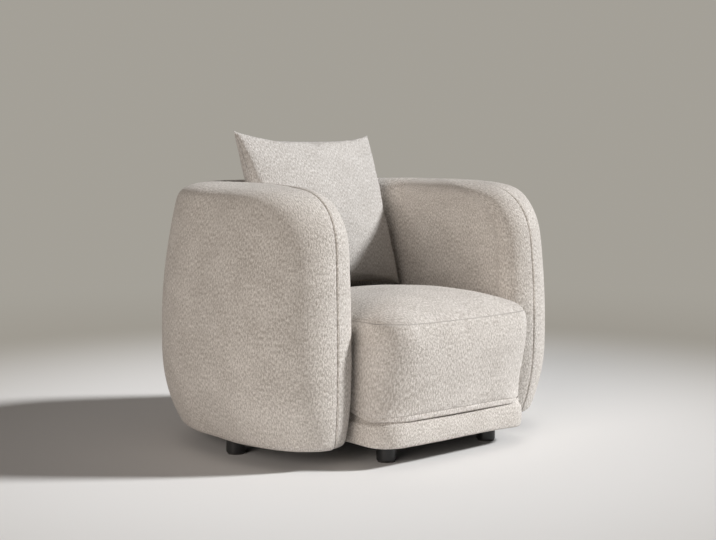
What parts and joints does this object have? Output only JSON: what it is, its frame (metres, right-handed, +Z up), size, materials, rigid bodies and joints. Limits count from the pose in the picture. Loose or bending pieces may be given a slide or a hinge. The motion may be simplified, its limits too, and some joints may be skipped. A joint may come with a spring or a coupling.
{
  "type": "tub chair",
  "caption": "Upholstered tub chair with a rounded one-piece barrel of arms and back, a loose boxed seat cushion with a zip, a loose scatter pillow and low round feet.",
  "frame": {"origin": "on the floor under the middle of the chair's box", "axes": "+Z up, the chair's front towards -Y, the sitter's left arm at +X"},
  "size_m": [1.07, 0.88, 0.8258],
  "materials": {
    "arm_cloth": "woven, matte",
    "seat_cloth": "woven, matte",
    "pillow_cloth": "woven, matte",
    "under_cloth": "plain weave, matte",
    "dust_cloth": "non-woven, matte",
    "foam": "open cell foam, matte",
    "wadding": "bonded fibre, matte",
    "filling": "fibre-filled cotton insert",
    "plywood": "unfinished plywood",
    "timber": "planed softwood",
    "webbing": "elastic webbing",
    "zip_tape": "woven tape",
    "zip_plastic": "moulded coil",
    "zip_metal": "painted, satin",
    "foot_black": "black, satin",
    "glide": "felted plastic",
    "steel": "zinc plated"
  },
  "bodies": {
    "root": {"base_board": "plywood", "middle_ring": "plywood", "top_ring": "plywood", "nose_posts": "timber", "side_posts": "timber", "back_posts": "timber", "seat_front_rail": "timber", "seat_rear_rail": "timber", "seat_left_rail": "timber", "seat_right_rail": "timber", "corner_blocks": "timber", "block_screws": "steel", "long_webbing": "webbing", "cross_webbing": "webbing", "seat_deck": "wadding", "dust_cover": "dust_cloth", "left_outer_padding": "wadding", "right_outer_padding": "wadding", "back_outer_padding": "wadding", "left_inner_foam": "foam", "right_inner_foam": "foam", "inside_back_foam": "foam", "front_rail_padding": "wadding", "left_outer_cover": "arm_cloth", "right_outer_cover": "arm_cloth", "outside_back_cover": "arm_cloth", "left_inner_cover": "arm_cloth", "right_inner_cover": "arm_cloth", "inside_back_cover": "arm_cloth", "front_rail_cover": "arm_cloth", "front_left_foot": "foot_black", "front_right_foot": "foot_black", "side_left_foot": "foot_black", "side_right_foot": "foot_black", "rear_left_foot": "foot_black", "rear_right_foot": "foot_black", "foot_studs": "steel", "tee_nuts": "steel", "foot_glides": "glide"},
    "seat_cushion": {"seat_core": "foam", "seat_top_panel": "seat_cloth", "seat_boxing": "seat_cloth", "seat_bottom_panel": "under_cloth", "seat_zip_tape": "zip_tape", "seat_zip_coil": "zip_plastic"},
    "seat_zip_slider": {"seat_zip_slider": "zip_metal"},
    "back_pillow": {"pillow_insert": "filling", "pillow_front_panel": "pillow_cloth", "pillow_back_panel": "pillow_cloth", "pillow_zip": "zip_tape"}
  },
  "joints": [
    {"name": "seat_cushion_lift", "type": "slide", "parent": "root", "child": "seat_cushion", "axis": [0, 0, 1], "range_m": [0, 0.3]},
    {"name": "seat_zip", "type": "slide", "parent": "seat_cushion", "child": "seat_zip_slider", "axis": [-1, 0, 0], "range_m": [0, 0.257]},
    {"name": "back_pillow_lift", "type": "slide", "parent": "seat_cushion", "child": "back_pillow", "axis": [0, 0, 1], "range_m": [0, 0.4]}
  ]
}
